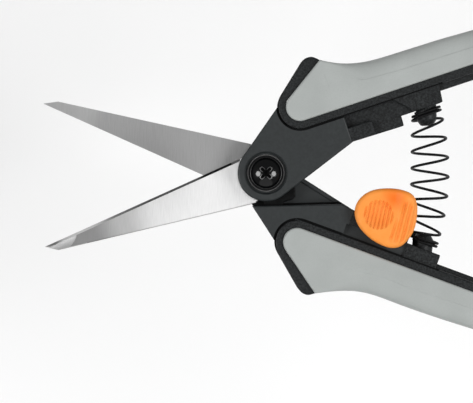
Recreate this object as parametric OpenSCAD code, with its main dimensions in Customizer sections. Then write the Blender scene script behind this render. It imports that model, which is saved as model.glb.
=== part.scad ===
// Floral snips: two moulded handles with soft grips, two steel blades on one
// screw pivot, a return spring between the handles and a sliding thumb lock.
// The pivot axis is Z and passes through the origin. Z = 0 is the plane the
// snips lie on, the blades point along -X and the snips are modelled open.
// Each handle has a rail frame: u runs along its rail, v points away from the
// other handle. Lists of two values hold [front half, rear half], except those of
// the spring, which run from its rear foot to its front foot.

/* [Blades] */
// Distance from the pivot to the blade tips
blade_reach = 58.6; // [55:0.2:62]
// Thickness of each blade
blade_t = 1.5; // [1.2:0.1:1.8]
// Width of the ground bevel along each cutting edge
bevel_w = 0.6; // [0.5:0.1:1.4]
// Thickness left at the cutting edge
edge_t = 0.25; // [0.15:0.05:0.6]

/* [Handles] */
// Height of the shear plane, half of the handle thickness
shear_z = 6.5; // [6.3:0.1:6.8]
// Radius of the pivot hubs
hub_r = 7.1; // [6.9:0.1:7.4]
// Thickness of each hub plate
plate_t = 3.5; // [3:0.1:3.6]
// How far the rims and rails stand proud of the hub plates
rim_proud = 0.5; // [0.3:0.1:0.8]
// How far the soft grips stand proud of the rims
grip_proud = 1; // [0.5:0.1:1]
// Distance from the pivot to the centre of each rounded handle end
handle_reach = 95.5; // [92:0.5:104]
// Edge radius of the soft grips
grip_round = 1.4; // [0.6:0.1:1.6]
// Depth of the soft layer over the core at the outer edge
grip_depth = 2.6; // [2:0.1:3.4]

/* [Pivot] */
// Outer radius of the barrel that both halves sit on
barrel_r = 2.6; // [2.4:0.05:2.8]
// Radial running clearance on the barrel
barrel_gap = 0.05; // [0.03:0.01:0.09]
// Radius of the screw head
head_r = 3.95; // [3.6:0.05:4.2]
// Radius of the washer and of the nut flange
flange_r = 4.6; // [4.4:0.05:4.8]
// Radius of the recesses around the head and the flange
recess_r = 5.2; // [5:0.05:5.4]

/* [Spring] */
// Wire diameter
wire_d = 0.68; // [0.5:0.02:0.7]
// Mean radius of the coils at the middle
coil_mid_r = 4.62; // [4.2:0.02:4.8]
// Mean radius of the coils at both ends
coil_end_r = 3.35; // [3.3:0.01:3.45]

/* [Lock] */
// Travel of the lock towards the pivot
lock_travel = 6; // [5:0.1:6]
// Thickness of the thumb pad
pad_t = 3.2; // [2.4:0.1:3.6]
// Radius of the round dish in the pad
dish_r = 3.9; // [3:0.1:4]

/* [Hidden] */
$fn = 48;
rail_angle = [18.4, 20.3];
edge_angle = [40, 40.2];
rail_v = [7.35, 7.5];
grey_v = [9.4, 9.85];
plate_end_u = [23.06, 24];
corner_r = 3.6;
rim_w = 2.07;
end_v = [18.25, 18.6];
outer_edge = [
    [[21.65, 22.6], [24.2, 21.1], [27, 19.9], [30.6, 18.95], [35, 18.4], [43.5, 18.2],
     [52, 18.05], [60, 17.7], [72, 17.4], [84, 17.9]],
    [[21.9, 24], [25, 22.4], [28.5, 20.9], [32.2, 19.8], [36.5, 19.3], [45, 19.3],
     [53.5, 19.1], [62, 18.7], [74, 18.1], [85, 18.4]]
];
horn = [
    [[20.9, 23.35], [19.8, 24.05], [18.3, 24.1], [17, 23.5]],
    [[21.3, 24.45], [20.2, 25.05], [18.7, 24.95], [17.3, 24.2]]
];
step_near_u = -0.37;
step_end = [20.6, 0.64];
plate_corner = [[23.06, 0.5], [24.2, 1.13]];
rear_heel_angle = -21.9;
disc_r = 5.7;
tang_hole_r = 1.3;
shank_r = 1.7;
cap_a = 48;
gap = 0.05;
press_gap = 0.02;
z_lo = shear_z - blade_t - plate_t;
z_hi = shear_z + blade_t + plate_t;
rim_lo = z_lo - rim_proud;
rim_hi = z_hi + rim_proud;
grip_lo = rim_lo - grip_proud;
grip_hi = rim_hi + grip_proud;
core_lo = z_lo + 2;
core_hi = z_hi - 2;
shelf_z = z_lo + plate_t;
recess_d = 1.5;
washer_t = 0.5;
nut_recess_d = 0.6;
block_inset = 0.8;
catch_z = z_hi - 2.3;
catch_top = z_hi - 0.1;
lock_gap = 0.2;
pad_z = z_hi + lock_gap;
lug_z = catch_z + 0.3;
stem_lo = z_lo + block_inset - 0.9;
groove_z = z_hi - 1.5;
slot_v = [2, 4.9];
stem_u = [33, 36.6];
slot_end_gap = 0.2;
ledge_u = [48, 84];
ledge_v = [[5.7, 7.6], [6.4, 7.8]];
catch_block = [[23, 8], [23, 0.6], [36.6, 0.34], [36.7, 2.9], [39.6, 2.9], [39.6, 8]];
catch_u = [23, 29.2];
catch_v = [0.6, 4.2];
front_spring_block = [[35.2, 8], [39.6, 3.6], [39.5, 2.9], [47.6, 2.9], [48.1, 7], [48.1, 8]];
lock_block_u = [23.9, 38.9];
lock_block_v = [1.4, 8];
rear_spring_block_u = [38.8, 48.1];
rear_spring_block_v = [4.15, 8];
lock_groove_u = [23.4, 38.9];
boss_r = 2.6;
boss_cone = 1.6;
boss_tip_r = 1.4;
boss_base = [[40.2, 17.2], [39.2, -19.6]];
boss_tip = [[40.45, 11.9], [39.65, -15]];
collar_points = [[-0.5, -8.9], [-0.5, -5.5], [4, -4.2], [7.4, -3], [7.4, -5.9], [6.7, -6.6],
                 [4.5, -7.2], [4.4, -8.9]];
blade_angle = [180 + 18.43, 180 + 17.35];
edge_y0 = [-6, -6.95];
heel = [[4.5, 6.4], [5.5, 5.9]];
spine_corner = [[-3.1, 1.87], [-3.4, 1.6]];
tang_holes = [[15.5, 12], [25, 13.4]];
pad_points = [[24.4, 2.1], [23.85, -0.6], [24.7, -3.2], [26.6, -5.3], [29.8, -6.95],
              [33.5, -7.85], [36.4, -7.5], [38.2, -5.5], [39.2, -2.6], [39.6, 0.2],
              [39.2, 2.9], [37.9, 5.5], [35.7, 6.75], [32.8, 6.85], [29.6, 6.15], [26.4, 4.5]];
dish_c = [29.9, 0];
dish_depth = 1;
rib_r = 0.3;
rib_pitch = 1.25;
fit_gap = 0.12;
lug_u = [31, 36.4];
lug_v = [-7.2, -5.85];
rib_u = [30.4, 36.4];
hub_shelf_points = [[-3.2, -8.7], [1.7, -8.7], [1.7, -6.4], [-2.6, -6.4]];
coil_feet = [[39.5, -17.55], [40.25, 15.9]];
coil_tilt = [-20.3, 18.4];
coil_bow = 1.35;
closed_turns = 1.6;
closed_pitch = 0.76;
ramp_turns = 0.8;
open_turns = 6;
coil_steps = 16;
wire_sides = 6;
dark = "#37393a";
grey = "#b0b5b3";
steel = "#c9cbcb";
black = "#17181a";
orange = "#ff8f37";

// A cubic curve through p1 and p2, and the same through a whole list of points.
function curve(p0, p1, p2, p3, t) =
    0.5 * (2 * p1 + (p2 - p0) * t + (2 * p0 - 5 * p1 + 4 * p2 - p3) * t * t
           + (3 * p1 - p0 - 3 * p2 + p3) * t * t * t);
function through(pts, n) = let (last = len(pts) - 1) concat(
    [for (i = [0:last - 1]) for (k = [0:n - 1])
        curve(pts[max(i - 1, 0)], pts[i], pts[i + 1], pts[min(i + 2, last)], k / n)],
    [pts[last]]);
function loop_through(pts, n) = let (m = len(pts))
    [for (i = [0:m - 1]) for (k = [0:n - 1])
        curve(pts[(i + m - 1) % m], pts[i], pts[(i + 1) % m], pts[(i + 2) % m], k / n)];
function arc(c, r, a0, a1, n) =
    [for (i = [0:n]) let (a = a0 + (a1 - a0) * i / n) [c.x + r * cos(a), c.y + r * sin(a)]];
function reversed(pts) = [for (i = [len(pts) - 1:-1:0]) pts[i]];

// The same closed outline, moved inwards by d. Points run anticlockwise.
function edge_normal(a, b) = [a.y - b.y, b.x - a.x] / norm(b - a);
function inset(pts, d) = let (m = len(pts))
    [for (i = [0:m - 1])
        let (before = edge_normal(pts[(i + m - 1) % m], pts[i]),
             after = edge_normal(pts[i], pts[(i + 1) % m]))
        pts[i] + d * (before + after) / (1 + before * after)];

// A slab with rounded top and bottom edges.
module pillow(pts, lo, hi, r, steps = 4) {
    m = len(pts);
    low = [for (i = [0:steps]) let (a = 90 * i / steps) [r * (1 - sin(a)), lo + r * (1 - cos(a))]];
    high = [for (i = [0:steps]) let (a = 90 * i / steps) [r * (1 - cos(a)), hi - r * (1 - sin(a))]];
    levels = concat(low, high);
    rings = [for (l = levels) [for (p = inset(pts, l[0])) [p.x, p.y, l[1]]]];
    top = len(levels) - 1;
    polyhedron(
        points = [for (ring = rings) for (p = ring) p],
        faces = concat(
            [[for (i = [0:m - 1]) i]],
            [for (k = [0:top - 1]) for (i = [0:m - 1]) [k * m + i, (k + 1) * m + i, k * m + (i + 1) % m]],
            [for (k = [0:top - 1]) for (i = [0:m - 1])
                [k * m + (i + 1) % m, (k + 1) * m + i, (k + 1) * m + (i + 1) % m]],
            [[for (i = [m - 1:-1:0]) top * m + i]]));
}

module slab(pts, lo, hi) {
    translate([0, 0, lo]) linear_extrude(hi - lo) polygon(pts);
}

module block(u, v, lo, hi) {
    translate([u[0], v[0], lo]) cube([u[1] - u[0], v[1] - v[0], hi - lo]);
}

// Rail frame of each half: the rear one is the mirror image of the front one.
module rail_frame(s) {
    if (s == 0) rotate(rail_angle[s]) children();
    else mirror([0, 1, 0]) rotate(rail_angle[s]) children();
}

// Handle outlines in the rail frame.
function edge_v(s, u) = (hub_r + u * sin(edge_angle[s])) / cos(edge_angle[s]);
function corner_c(s) = [13.3, grey_v[s] + corner_r];
function end_r(s) = (end_v[s] - rail_v[s]) / 2;
function end_c(s) = [handle_reach, rail_v[s] + end_r(s)];
function outer_line(s) = through(concat(outer_edge[s], [[handle_reach, end_v[s]]]), 2);
function rim_arc(s, r, n) = arc(corner_c(s), r, 90 + edge_angle[s], 270, n);
function end_arc(s) = arc(end_c(s), end_r(s), cap_a, 84, 4);
function handle_outline(s) = concat(
    rim_arc(s, corner_r + rim_w, 8),
    arc(end_c(s), end_r(s), -90, cap_a - 12, 9),
    end_arc(s),
    reversed(outer_line(s)),
    horn[s]);
function panel_outline(s) = concat(
    arc(corner_c(s), corner_r, 124, 270, 8),
    arc([handle_reach - 0.6, grey_v[s] + 3.5], 3.5, -90, 0, 5),
    end_arc(s),
    reversed(outer_line(s)));
function cheek_outline(s) = concat(
    [[step_near_u, edge_v(s, step_near_u)]],
    rim_arc(s, corner_r + rim_w / 2, 6),
    [[plate_end_u[s], rail_v[s] + 1], [plate_end_u[s], plate_corner[s].y], step_end]);
function tangent_angle(p) = atan2(p.y, p.x) - acos(hub_r / norm(p));
function plate_outline(s) = concat(
    rim_arc(s, corner_r + rim_w / 2, 6),
    [[plate_corner[s].x, rail_v[s] + 1], plate_corner[s]],
    arc([0, 0], hub_r, s == 0 ? tangent_angle(plate_corner[s]) : rear_heel_angle,
        edge_angle[s] - 270, 24));

// The blade frame has x towards the tip and y towards the spine.
module blade_frame(s) {
    if (s == 0) rotate(blade_angle[s]) children();
    else mirror([0, 1, 0]) rotate(blade_angle[s]) children();
}

function blade_outline(s) = [
    [blade_reach, 0],
    [blade_reach + spine_corner[s].x, spine_corner[s].y],
    heel[s],
    [0, 4],
    [-3, 0],
    [0, edge_y0[s]]
];

// Hub disc and tang in the rail frame, as one outline.
function root_outline() = concat(
    arc([0, 0], disc_r, 92, 382, 96),
    [[6.8, 7.2], [12, 9.6], [20, 10.7], [31, 12.2], [31, 15], [28, 16], [20, 15.4],
     [10.5, 11.9], [6, 10.2], [3.6, 7.9]]
);

module blade_root(lo, hi) {
    difference() {
        slab(root_outline(), lo, hi);
        for (h = tang_holes) translate([h.x, h.y, lo - 1]) cylinder(r = tang_hole_r, h = hi - lo + 2);
    }
}

// The flat-ground blade, its hub disc and its tang, with a bevel on the outer face.
module blade(s, lo, hi, bore_r) {
    edge_len = norm([blade_reach, edge_y0[s]]);
    difference() {
        union() {
            blade_frame(s) slab(blade_outline(s), lo, hi);
            rail_frame(s) blade_root(lo, hi);
        }
        translate([0, 0, lo - 1]) cylinder(r = bore_r, h = hi - lo + 2);
        blade_frame(s) translate([blade_reach, 0, 0])
            rotate(180 + atan2(-edge_y0[s], blade_reach))
                mirror([0, 1, 0]) bevel_cut(s, lo, hi, edge_len);
    }
}

// Wedge taken off along a cutting edge that runs along +X, with the blade at -Y.
module bevel_cut(s, lo, hi, edge_len) {
    depth = hi - lo - edge_t;
    start = s == 0 ? hi : lo;
    sign = s == 0 ? -1 : 1;
    hub_end = 8;
    past_tip = 2;
    translate([-past_tip, 0, 0]) rotate([90, 0, 90])
        linear_extrude(edge_len - hub_end + past_tip)
            polygon([[-bevel_w, start], [0, start + sign * depth], [1, start + sign * depth],
                     [1, start - sign], [-bevel_w, start - sign]]);
}

module back_blade() color(steel) {
    blade(1, shear_z - blade_t, shear_z - gap / 2, barrel_r + press_gap);
}

module front_blade() color(steel) {
    blade(0, shear_z + gap / 2, shear_z + blade_t, barrel_r + barrel_gap);
}

// The rim around a soft panel, the rail, the rounded end and the core under the grip.
module rim_and_core(s) {
    difference() {
        slab(handle_outline(s), rim_lo, rim_hi);
        slab(panel_outline(s), rim_lo - 1, rim_hi + 1);
    }
    core(s);
}

module core(s) {
    intersection() {
        slab(panel_outline(s), core_lo, core_hi);
        translate([0, -grip_depth, 0]) slab(panel_outline(s), core_lo, core_hi);
    }
}

module spring_boss(s) {
    base = boss_base[s];
    tip = boss_tip[s];
    length = norm(tip - base);
    translate([base.x, base.y, shear_z]) rotate(atan2(tip.y - base.y, tip.x - base.x))
        rotate([0, 90, 0]) {
            cylinder(r = boss_r, h = length - boss_cone);
            translate([0, 0, length - boss_cone])
                cylinder(r1 = boss_r, r2 = boss_tip_r, h = boss_cone);
        }
}

module front_handle_frame() color(dark) {
    difference() {
        union() {
            rail_frame(0) {
                slab(plate_outline(0), z_hi - plate_t, z_hi);
                slab(cheek_outline(0), z_lo, z_hi);
                rim_and_core(0);
                // catch block and the raised catch that the lock hooks over
                slab(catch_block, z_lo, catch_z);
                block(catch_u, catch_v, catch_z - 1, catch_top);
                slab(front_spring_block, z_lo + block_inset, z_hi - block_inset);
                // inner ledge
                block(ledge_u, ledge_v[0], core_lo, core_hi);
            }
            spring_boss(0);
        }
        rail_frame(0) blade_root(shear_z + gap / 2, shear_z + blade_t);
        translate([0, 0, shear_z]) cylinder(r = barrel_r + barrel_gap, h = 8);
        translate([0, 0, z_hi - recess_d]) cylinder(r = recess_r, h = recess_d + 1);
    }
}

module rear_handle_frame() color(dark) {
    difference() {
        union() {
            rail_frame(1) {
                slab(plate_outline(1), z_lo, z_lo + plate_t);
                slab(cheek_outline(1), z_lo, z_hi);
                rim_and_core(1);
                block(lock_block_u, lock_block_v, z_lo + block_inset, z_hi);
                block(rear_spring_block_u, rear_spring_block_v,
                      z_lo + block_inset, z_hi - block_inset);
                // inner ledge
                block(ledge_u, ledge_v[1], core_lo, core_hi);
            }
            spring_boss(1);
            hub_collar();
            hub_shelf();
        }
        rail_frame(1) blade_root(shear_z - blade_t, shear_z - gap / 2);
        translate([0, 0, z_lo - 1]) cylinder(r = barrel_r + press_gap, h = plate_t + 4);
        translate([0, 0, z_lo - 1]) cylinder(r = recess_r, h = nut_recess_d + 1);
        rail_frame(1) {
            // slot for the stem of the lock and the groove that guides it
            block([stem_u[0] - lock_travel - slot_end_gap, stem_u[1] + slot_end_gap],
                  slot_v, z_lo - 1, z_hi + 1);
            block(lock_groove_u, [slot_v[1] - 0.01, rail_v[1]], groove_z, z_hi + 1);
        }
    }
}

// Collar on the shelf of the rear half: it covers the neck of the blade tang.
module hub_collar() {
    difference() {
        slab(reversed(collar_points), shelf_z - 1, shear_z + blade_t - 2 * gap);
        translate([0, 0, shelf_z - 2]) cylinder(r = disc_r + 0.6, h = 2 * blade_t + 3);
    }
}

// Shelf under the edge of the hub plate of the other half, level with the back blade.
module hub_shelf() {
    difference() {
        slab(hub_shelf_points, shelf_z - 1, shear_z - 2 * gap);
        translate([0, 0, shelf_z - 2]) cylinder(r = hub_r - 0.1, h = 2 * blade_t + 3);
    }
}

// Soft grips: an over-moulded skin around each core.
module grip(s) {
    rail_frame(s) difference() {
        pillow(panel_outline(s), grip_lo, grip_hi, grip_round);
        core(s);
    }
}

module rear_grip() color(grey) { grip(1); }

module front_grip() color(grey) { grip(0); }

// Pivot hardware, all fixed to the rear half.
module pivot_screw() color(black) {
    seat = z_hi - recess_d + gap + washer_t;
    head_h = 1.9;
    dome_r = (head_r * head_r + head_h * head_h) / (2 * head_h);
    cross_len = 4;
    cross_w = 0.9;
    cross_floor = 0.5;
    difference() {
        union() {
            intersection() {
                translate([0, 0, seat]) cylinder(r = head_r, h = head_h);
                translate([0, 0, seat + head_h - dome_r]) sphere(r = dome_r);
            }
            translate([0, 0, z_lo + 1.5]) cylinder(r = shank_r, h = seat - z_lo - 1.4);
        }
        for (a = [45, 135]) translate([0, 0, seat + cross_floor]) rotate(a)
            translate([-cross_len / 2, -cross_w / 2, 0]) cube([cross_len, cross_w, head_h]);
        translate([0, 0, seat + 0.2]) cylinder(r = cross_w, h = head_h);
    }
}

module screw_washer() color(black) {
    difference() {
        translate([0, 0, z_hi - recess_d + gap]) cylinder(r = flange_r, h = washer_t);
        translate([0, 0, z_hi - recess_d - 1]) cylinder(r = shank_r + gap, h = washer_t + 3);
    }
}

module pivot_nut() color(black) {
    flange_t = z_lo + 0.2;
    chamfer = 0.5;
    difference() {
        union() {
            rotate_extrude() polygon([[0, 0], [flange_r - chamfer, 0], [flange_r, chamfer],
                                      [flange_r, flange_t], [0, flange_t]]);
            cylinder(r = barrel_r, h = z_hi - recess_d + gap);
        }
        translate([0, 0, z_lo + 1.3]) cylinder(r = shank_r, h = z_hi);
    }
}

module tension_washer() color(steel) {
    lo = z_lo + 0.2;
    hi = z_lo + nut_recess_d;
    rotate_extrude() polygon([[barrel_r + 0.1, hi - 0.25], [flange_r - 0.3, lo], [flange_r, lo],
                              [barrel_r + 0.5, hi], [barrel_r + 0.1, hi]]);
}

// Return spring: height along the coil for each turn, closed at both ends.
total_turns = 2 * (closed_turns + ramp_turns) + open_turns;
coil_len = norm(coil_feet[1] - coil_feet[0]);
closed_h = closed_turns * closed_pitch;
ramp_h = (closed_pitch + open_pitch()) / 2 * ramp_turns;
function open_pitch() =
    (coil_len - 2 * closed_h - closed_pitch * ramp_turns) / (open_turns + ramp_turns);
function half_height(n) =
    n < closed_turns ? n * closed_pitch
    : n < closed_turns + ramp_turns
        ? let (x = n - closed_turns)
          closed_h + closed_pitch * x + (open_pitch() - closed_pitch) * x * x / (2 * ramp_turns)
        : closed_h + ramp_h + (n - closed_turns - ramp_turns) * open_pitch();
function coil_height(n) =
    n <= total_turns / 2 ? half_height(n) : coil_len - half_height(total_turns - n);
function coil_point(n) =
    let (t = coil_height(n) / coil_len,
         centre = coil_feet[0] * (1 - t) + coil_feet[1] * t + [coil_bow * sin(180 * t), 0],
         tilt = coil_tilt[0] * (1 - t) + coil_tilt[1] * t,
         swell = pow(sin(180 * t), 0.6),
         r = coil_end_r + (coil_mid_r - coil_end_r) * swell,
         a = 360 * (n - closed_turns - ramp_turns))
    [centre.x + r * cos(a) * cos(tilt), centre.y + r * cos(a) * sin(tilt), shear_z - r * sin(a)];
function unit(v) = v / norm(v);

module return_spring() color(black) {
    rings = floor(total_turns * coil_steps);
    centres = [for (i = [0:rings]) coil_point(i / coil_steps)];
    points = [for (i = [0:rings])
        let (along = unit(centres[min(i + 1, rings)] - centres[max(i - 1, 0)]),
             side = unit(cross(along, [0, 1, 0])),
             up = cross(side, along))
        for (k = [0:wire_sides - 1]) let (a = 360 * k / wire_sides)
            centres[i] + wire_d / 2 * (side * cos(a) + up * sin(a))];
    w = wire_sides;
    polyhedron(points = points, faces = concat(
        [[for (k = [0:w - 1]) k]],
        [for (i = [0:rings - 1]) for (k = [0:w - 1]) [i * w + k, (i + 1) * w + k, i * w + (k + 1) % w]],
        [for (i = [0:rings - 1]) for (k = [0:w - 1])
            [i * w + (k + 1) % w, (i + 1) * w + k, (i + 1) * w + (k + 1) % w]],
        [[for (k = [w - 1:-1:0]) rings * w + k]]));
}

// Thumb lock: a rounded pad on a stem, with a hook along its far edge.
module lock_button() color(orange) rail_frame(1) {
    ball_r = (dish_r * dish_r + dish_depth * dish_depth) / (2 * dish_depth);
    top = pad_z + pad_t;
    pad_round = 1.1;
    difference() {
        pillow(reversed(loop_through(reversed(pad_points), 3)), pad_z, top, pad_round);
        translate([dish_c.x, dish_c.y, top + ball_r - dish_depth]) sphere(r = ball_r);
    }
    for (i = [-2:2]) translate([dish_c.x + rib_pitch * i, dish_c.y, top - 0.8])
        rotate([90, 0, 0]) cylinder(
            r = rib_r, h = 2 * sqrt(dish_r * dish_r - pow(rib_pitch * i, 2)) - 2, center = true);
    block(stem_u, [slot_v[0] + fit_gap, slot_v[1] - fit_gap], stem_lo, pad_z + 1);
    block(lug_u, lug_v, lug_z, pad_z + 1);
    block(rib_u, [slot_v[1] + fit_gap, rail_v[1] - 1], groove_z + lock_gap, pad_z + 1);
}

// Clip on the stem at the back of the slot.
module lock_retainer() color(dark) rail_frame(1) {
    overlap_w = 1.3;
    difference() {
        block([stem_u[0] - overlap_w, stem_u[1] + overlap_w],
              [slot_v[0] - overlap_w, slot_v[1] + overlap_w],
              stem_lo - 0.2, z_lo + block_inset - 0.1);
        block(stem_u, [slot_v[0] + fit_gap, slot_v[1] - fit_gap], z_lo - 1, z_hi);
    }
}

back_blade();
front_blade();
rear_handle_frame();
front_handle_frame();
rear_grip();
front_grip();
pivot_screw();
screw_washer();
pivot_nut();
tension_washer();
return_spring();
lock_button();
lock_retainer();
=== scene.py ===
"""Floral snips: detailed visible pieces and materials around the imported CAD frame.

Lengths in the shape sections are millimetres in the CAD frame; meshes are scaled to metres
when they are made. Each handle has a rail frame: u along its rail, v away from the other
handle. Pairs of values hold [front half, rear half], as in the CAD model.
"""
import math

import bmesh
import bpy
import numpy as np
from mathutils import Matrix, Vector


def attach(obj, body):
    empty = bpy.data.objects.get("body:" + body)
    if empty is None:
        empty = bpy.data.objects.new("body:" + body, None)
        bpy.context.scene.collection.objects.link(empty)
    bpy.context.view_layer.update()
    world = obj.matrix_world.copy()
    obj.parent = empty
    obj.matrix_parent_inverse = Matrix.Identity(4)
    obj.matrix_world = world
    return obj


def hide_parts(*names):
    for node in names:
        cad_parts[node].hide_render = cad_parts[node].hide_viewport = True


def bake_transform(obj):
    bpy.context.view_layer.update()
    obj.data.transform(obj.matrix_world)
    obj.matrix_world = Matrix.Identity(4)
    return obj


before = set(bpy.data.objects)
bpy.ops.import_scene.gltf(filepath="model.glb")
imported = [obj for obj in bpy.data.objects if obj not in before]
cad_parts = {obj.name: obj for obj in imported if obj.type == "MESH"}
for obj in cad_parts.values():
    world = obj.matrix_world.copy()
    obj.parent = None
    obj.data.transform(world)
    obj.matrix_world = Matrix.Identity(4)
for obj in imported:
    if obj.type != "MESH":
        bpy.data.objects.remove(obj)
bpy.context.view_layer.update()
MM = 0.001
FRONT, REAR = 0, 1
BODY = ["front_half", "rear_half"]

# ---------------------------------------------------------------- sizes
RAIL_ANGLE = [18.4, 20.3]
EDGE_ANGLE = [40.0, 40.2]
RAIL_V = [7.35, 7.5]
GREY_V = [9.4, 9.85]
PLATE_U = [23.06, 24.2]
PLATE_V = [0.5, 1.13]
END_V = [18.25, 18.6]
HUB_R = 7.1
CORNER_R = 3.6
RIM_W = 2.07
REACH = 95.5
REAR_HEEL_A = -21.9
OUTER_EDGE = [
    [(21.65, 22.6), (24.2, 21.1), (27, 19.9), (30.6, 18.95), (35, 18.4), (43.5, 18.2),
     (52, 18.05), (60, 17.7), (72, 17.4), (84, 17.9)],
    [(21.9, 24), (25, 22.4), (28.5, 20.9), (32.2, 19.8), (36.5, 19.3), (45, 19.3),
     (53.5, 19.1), (62, 18.7), (74, 18.1), (85, 18.4)],
]
HORN = [
    [(20.9, 23.35), (19.8, 24.05), (18.3, 24.1), (17, 23.5)],
    [(21.3, 24.45), (20.2, 25.05), (18.7, 24.95), (17.3, 24.2)],
]
SHEAR_Z = 6.5
BLADE_T = 1.5
PLATE_T = 3.5
Z_LO = SHEAR_Z - BLADE_T - PLATE_T
Z_HI = SHEAR_Z + BLADE_T + PLATE_T
RIM_LO, RIM_HI = Z_LO - 0.5, Z_HI + 0.5
GRIP_LO, GRIP_HI = RIM_LO - 1.0, RIM_HI + 1.0
CORE_LO, CORE_HI = Z_LO + 2, Z_HI - 2
PLATE_TOP = Z_LO + PLATE_T
GAP = 0.05
BARREL_R = 2.6
FLANGE_R = 4.6
RECESS_R = 5.2
RECESS_D = 1.5
RING_LO = Z_HI - RECESS_D + GAP
SEAT_Z = RING_LO + 0.5
TANG_HOLE_R = 1.3
STEP_FAR = (20.6, 0.64)
CROWN = 0.12
BLADE_ANGLE = [198.43, 197.35]


# ---------------------------------------------------------------- outlines
def arc(c, r, a0, a1, n):
    angles = np.radians(np.linspace(a0, a1, n + 1))
    return [(c[0] + r * math.cos(a), c[1] + r * math.sin(a)) for a in angles]


def curve(p0, p1, p2, p3, t):
    p0, p1, p2, p3 = (np.array(p, float) for p in (p0, p1, p2, p3))
    return tuple(0.5 * (2 * p1 + (p2 - p0) * t + (2 * p0 - 5 * p1 + 4 * p2 - p3) * t * t
                        + (3 * p1 - p0 - 3 * p2 + p3) * t ** 3))


def through(pts, n):
    last = len(pts) - 1
    found = [curve(pts[max(i - 1, 0)], pts[i], pts[i + 1], pts[min(i + 2, last)], k / n)
             for i in range(last) for k in range(n)]
    return found + [tuple(pts[last])]


def loop_through(pts, n):
    m = len(pts)
    return [curve(pts[i - 1], pts[i], pts[(i + 1) % m], pts[(i + 2) % m], k / n)
            for i in range(m) for k in range(n)]


def rounded(corners, n=4):
    """A polygon whose corners (x, y, radius) are rounded."""
    pts, m = [], len(corners)
    for i, (x, y, r) in enumerate(corners):
        here = np.array((x, y), float)
        before = np.array(corners[i - 1][:2], float) - here
        after = np.array(corners[(i + 1) % m][:2], float) - here
        a, b = before / np.linalg.norm(before), after / np.linalg.norm(after)
        half = math.acos(max(-1.0, min(1.0, float(a @ b)))) / 2
        if r <= 0 or half > math.radians(88):
            pts.append(tuple(here))
            continue
        back = min(r / math.tan(half), 0.49 * np.linalg.norm(before), 0.49 * np.linalg.norm(after))
        radius = back * math.tan(half)
        centre = here + (a + b) / np.linalg.norm(a + b) * radius / math.sin(half)
        start, end = here + a * back - centre, here + b * back - centre
        a0 = math.atan2(start[1], start[0])
        turn = (math.atan2(end[1], end[0]) - a0 + math.pi) % (2 * math.pi) - math.pi
        angles = [a0 + turn * k / n for k in range(n + 1)]
        pts += [tuple(centre + radius * np.array((math.cos(t), math.sin(t)))) for t in angles]
    return pts


def area(pts):
    p = np.array(pts, float)
    q = np.roll(p, -1, axis=0)
    return 0.5 * float(np.sum(p[:, 0] * q[:, 1] - p[:, 1] * q[:, 0]))


def anticlockwise(pts):
    return list(pts) if area(pts) > 0 else list(reversed(pts))


def inset(pts, d):
    """The outline moved inwards by d; it runs anticlockwise."""
    p = np.array(pts, float)
    edge = np.roll(p, -1, axis=0) - p
    edge /= np.linalg.norm(edge, axis=1)[:, None]
    after = np.stack([-edge[:, 1], edge[:, 0]], axis=1)
    before = np.roll(after, 1, axis=0)
    dot = np.maximum(1 + np.sum(before * after, axis=1), 0.35)
    return p + d * (before + after) / dot[:, None]


def corner_c(s):
    return (13.3, GREY_V[s] + CORNER_R)


def end_r(s):
    return (END_V[s] - RAIL_V[s]) / 2


def end_c(s):
    return (REACH, RAIL_V[s] + end_r(s))


def outer_line(s, n=5):
    return through(OUTER_EDGE[s] + [(REACH, END_V[s])], n)


def rim_arc(s, r, n):
    return arc(corner_c(s), r, 90 + EDGE_ANGLE[s], 270, n)


def handle_outline(s):
    return (rim_arc(s, CORNER_R + RIM_W, 18) + arc(end_c(s), end_r(s), -90, 84, 22)
            + outer_line(s)[::-1] + through([OUTER_EDGE[s][0]] + HORN[s], 3)[1:])


def panel_outline(s, gap=0.0):
    left = arc(corner_c(s), CORNER_R - gap, 124, 270, 18)
    end = arc((REACH - 0.6, GREY_V[s] + 3.5), 3.5 - gap, -90, 0, 12)
    return left + end + arc(end_c(s), end_r(s), 48, 84, 6) + outer_line(s)[::-1]


def plate_outline(s):
    corner = np.array((PLATE_U[s], PLATE_V[s]))
    tangent = math.degrees(math.atan2(corner[1], corner[0]) - math.acos(HUB_R / np.linalg.norm(corner)))
    return (rim_arc(s, CORNER_R + RIM_W / 2, 8) + [(PLATE_U[s], RAIL_V[s] + 1), tuple(corner)]
            + arc((0, 0), HUB_R, tangent if s == FRONT else REAR_HEEL_A, EDGE_ANGLE[s] - 270, 64))


def cheek_outline(s):
    """The full-thickness part of the hub, kept just inside the outline of the plate."""
    near, inside = -0.37, 0.02
    slope = math.radians(EDGE_ANGLE[s])
    edge_v = (HUB_R + near * math.sin(slope)) / math.cos(slope)
    start = (near + 2.2, edge_v - 1.5) if s == FRONT else (near + inside, edge_v - inside)
    return ([start] + rim_arc(s, CORNER_R + RIM_W / 2 - inside, 8)
            + [(PLATE_U[s] - inside, RAIL_V[s] + 1), (PLATE_U[s] - inside, PLATE_V[s] + 0.01),
               (STEP_FAR[0], STEP_FAR[1] + inside)])


# ---------------------------------------------------------------- meshes
def new_object(name, bm):
    bmesh.ops.recalc_face_normals(bm, faces=bm.faces)
    mesh = bpy.data.meshes.new(name)
    bm.to_mesh(mesh)
    bm.free()
    obj = bpy.data.objects.new(name, mesh)
    bpy.context.scene.collection.objects.link(obj)
    return obj


def loft(rings, name):
    """A closed mesh through rings of the same number of (x, y, z) points in millimetres."""
    bm = bmesh.new()
    rows = [[bm.verts.new(Vector(p) * MM) for p in ring] for ring in rings]
    for low, high in zip(rows, rows[1:]):
        for i in range(len(low)):
            j = (i + 1) % len(low)
            bm.faces.new((low[i], low[j], high[j], high[i]))
    bm.faces.new(rows[0][::-1])
    bm.faces.new(rows[-1])
    return new_object(name, bm)


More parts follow.
